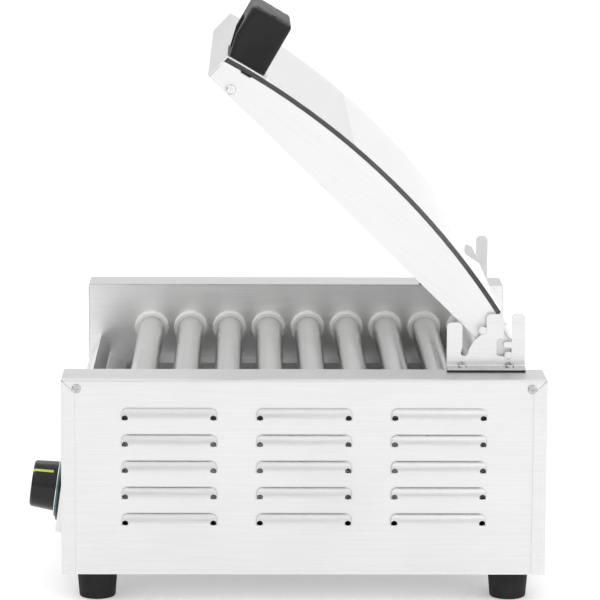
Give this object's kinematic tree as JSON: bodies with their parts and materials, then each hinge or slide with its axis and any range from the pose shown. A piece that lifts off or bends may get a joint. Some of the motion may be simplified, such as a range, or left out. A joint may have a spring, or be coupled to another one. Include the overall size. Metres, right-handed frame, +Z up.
{
  "type": "hot dog roller grill",
  "caption": "Counter-top hot dog roller grill: steel rollers between two louvred housings, a slanted control panel and a hinged curved glass lid with a side handle.",
  "frame": {"origin": "on the counter, under the middle of the whole machine with its lid open", "axes": "+X along the rollers to the end with the lid handle, -Y to the front control panel, +Z up"},
  "size_m": [0.5266, 0.4368, 0.4991],
  "materials": {
    "stainless": "brushed stainless sheet",
    "roller_steel": "ground and polished stainless tube",
    "zinc_steel": "zinc-plated steel",
    "motor_paint": "dark grey enamel",
    "white_ptfe": "off-white heat-proof plastic",
    "black_plastic": "glossy black moulding",
    "black_handle": "satin black moulding",
    "black_rubber": "black rubber",
    "lime": "lime-yellow inlay",
    "teal": "teal dial print",
    "amber": "amber lens",
    "clear_glass": "clear tempered glass"
  },
  "bodies": {
    "base": {"base_plate": "stainless", "bracket_pads": "black_rubber", "cable_gland": "black_plastic", "case_screws": "zinc_steel", "dial_bezel": "black_plastic", "dial_ring": "teal", "drive_chain": "zinc_steel", "end_wrap_left": "stainless", "end_wrap_right": "stainless", "feet": "black_rubber", "front_panel": "stainless", "gear_motor": "motor_paint", "heater_bars": "zinc_steel", "heater_rods": "zinc_steel", "indicator_lamp": "amber", "inner_wall_left": "stainless", "inner_wall_right": "stainless", "lid_bracket_left": "stainless", "lid_bracket_right": "stainless", "louvre_panel_left": "stainless", "louvre_panel_right": "stainless", "motor_bracket": "zinc_steel", "rear_panel": "stainless", "roller_bushes": "white_ptfe", "roller_ledges": "stainless", "switch_housing": "black_plastic", "thermostat": "zinc_steel"},
    "lid": {"lid_plate_right": "stainless", "lid_plate_left": "stainless", "lid_glass": "clear_glass", "front_strip": "stainless", "rear_strip": "stainless", "lid_handle": "black_handle", "lid_screws": "zinc_steel", "lid_pins": "stainless"},
    "knob": {"control_knob": "black_plastic", "knob_pointer": "lime", "thermostat_shaft": "zinc_steel"},
    "rocker": {"switch_rocker": "black_plastic"},
    "tray": {"drip_tray": "stainless"},
    "motor_output": {"motor_shaft": "zinc_steel", "motor_sprocket": "zinc_steel"},
    "roller_1": {"roller_1": "roller_steel", "sprocket_1": "zinc_steel"},
    "roller_2": {"roller_2": "roller_steel", "sprocket_2": "zinc_steel"},
    "roller_3": {"roller_3": "roller_steel", "sprocket_3": "zinc_steel"},
    "roller_4": {"roller_4": "roller_steel", "sprocket_4": "zinc_steel"},
    "roller_5": {"roller_5": "roller_steel", "sprocket_5": "zinc_steel"},
    "roller_6": {"roller_6": "roller_steel", "sprocket_6": "zinc_steel"},
    "roller_7": {"roller_7": "roller_steel", "sprocket_7": "zinc_steel"},
    "roller_8": {"roller_8": "roller_steel", "sprocket_8": "zinc_steel"},
    "roller_9": {"roller_9": "roller_steel", "sprocket_9": "zinc_steel"}
  },
  "joints": [
    {"name": "lid_tilt", "type": "hinge", "parent": "base", "child": "lid", "pos_m": [0, 0.18236, 0.2001], "axis": [1, 0, 0], "range_deg": [0, 44.3]},
    {"name": "roller_1_spin", "type": "hinge", "parent": "base", "child": "roller_1", "pos_m": [0, -0.12504, 0.1511], "axis": [1, 0, 0], "continuous": true},
    {"name": "roller_2_spin", "type": "hinge", "parent": "base", "child": "roller_2", "pos_m": [0, -0.08704, 0.1511], "axis": [1, 0, 0], "continuous": true},
    {"name": "roller_3_spin", "type": "hinge", "parent": "base", "child": "roller_3", "pos_m": [0, -0.04904, 0.1511], "axis": [1, 0, 0], "continuous": true},
    {"name": "roller_4_spin", "type": "hinge", "parent": "base", "child": "roller_4", "pos_m": [0, -0.01104, 0.1511], "axis": [1, 0, 0], "continuous": true},
    {"name": "roller_5_spin", "type": "hinge", "parent": "base", "child": "roller_5", "pos_m": [0, 0.02696, 0.1511], "axis": [1, 0, 0], "continuous": true},
    {"name": "roller_6_spin", "type": "hinge", "parent": "base", "child": "roller_6", "pos_m": [0, 0.06496, 0.1511], "axis": [1, 0, 0], "continuous": true},
    {"name": "roller_7_spin", "type": "hinge", "parent": "base", "child": "roller_7", "pos_m": [0, 0.10296, 0.1511], "axis": [1, 0, 0], "continuous": true},
    {"name": "roller_8_spin", "type": "hinge", "parent": "base", "child": "roller_8", "pos_m": [0, 0.14096, 0.1511], "axis": [1, 0, 0], "continuous": true},
    {"name": "roller_9_spin", "type": "hinge", "parent": "base", "child": "roller_9", "pos_m": [0, 0.17896, 0.1511], "axis": [1, 0, 0], "continuous": true},
    {"name": "motor_spin", "type": "hinge", "parent": "base", "child": "motor_output", "pos_m": [-0.228, 0.02696, 0.0783], "axis": [1, 0, 0], "continuous": true},
    {"name": "knob_turn", "type": "hinge", "parent": "base", "child": "knob", "pos_m": [0.182, -0.19036, 0.0843], "axis": [0, 0.9907, -0.1363], "range_deg": [0, 270]},
    {"name": "rocker_tip", "type": "hinge", "parent": "base", "child": "rocker", "pos_m": [0.11, -0.18244, 0.08321], "axis": [1, 0, 0], "range_deg": [0, 16]},
    {"name": "tray_slide", "type": "slide", "parent": "base", "child": "tray", "axis": [0, -1, 0], "range_m": [0, 0.35]}
  ],
  "couplings": [
    {"joint": "roller_2_spin", "follows": "roller_1_spin", "ratio": 1},
    {"joint": "roller_3_spin", "follows": "roller_1_spin", "ratio": 1},
    {"joint": "roller_4_spin", "follows": "roller_1_spin", "ratio": 1},
    {"joint": "roller_5_spin", "follows": "roller_1_spin", "ratio": 1},
    {"joint": "roller_6_spin", "follows": "roller_1_spin", "ratio": 1},
    {"joint": "roller_7_spin", "follows": "roller_1_spin", "ratio": 1},
    {"joint": "roller_8_spin", "follows": "roller_1_spin", "ratio": 1},
    {"joint": "roller_9_spin", "follows": "roller_1_spin", "ratio": 1},
    {"joint": "motor_spin", "follows": "roller_1_spin", "ratio": 1}
  ]
}
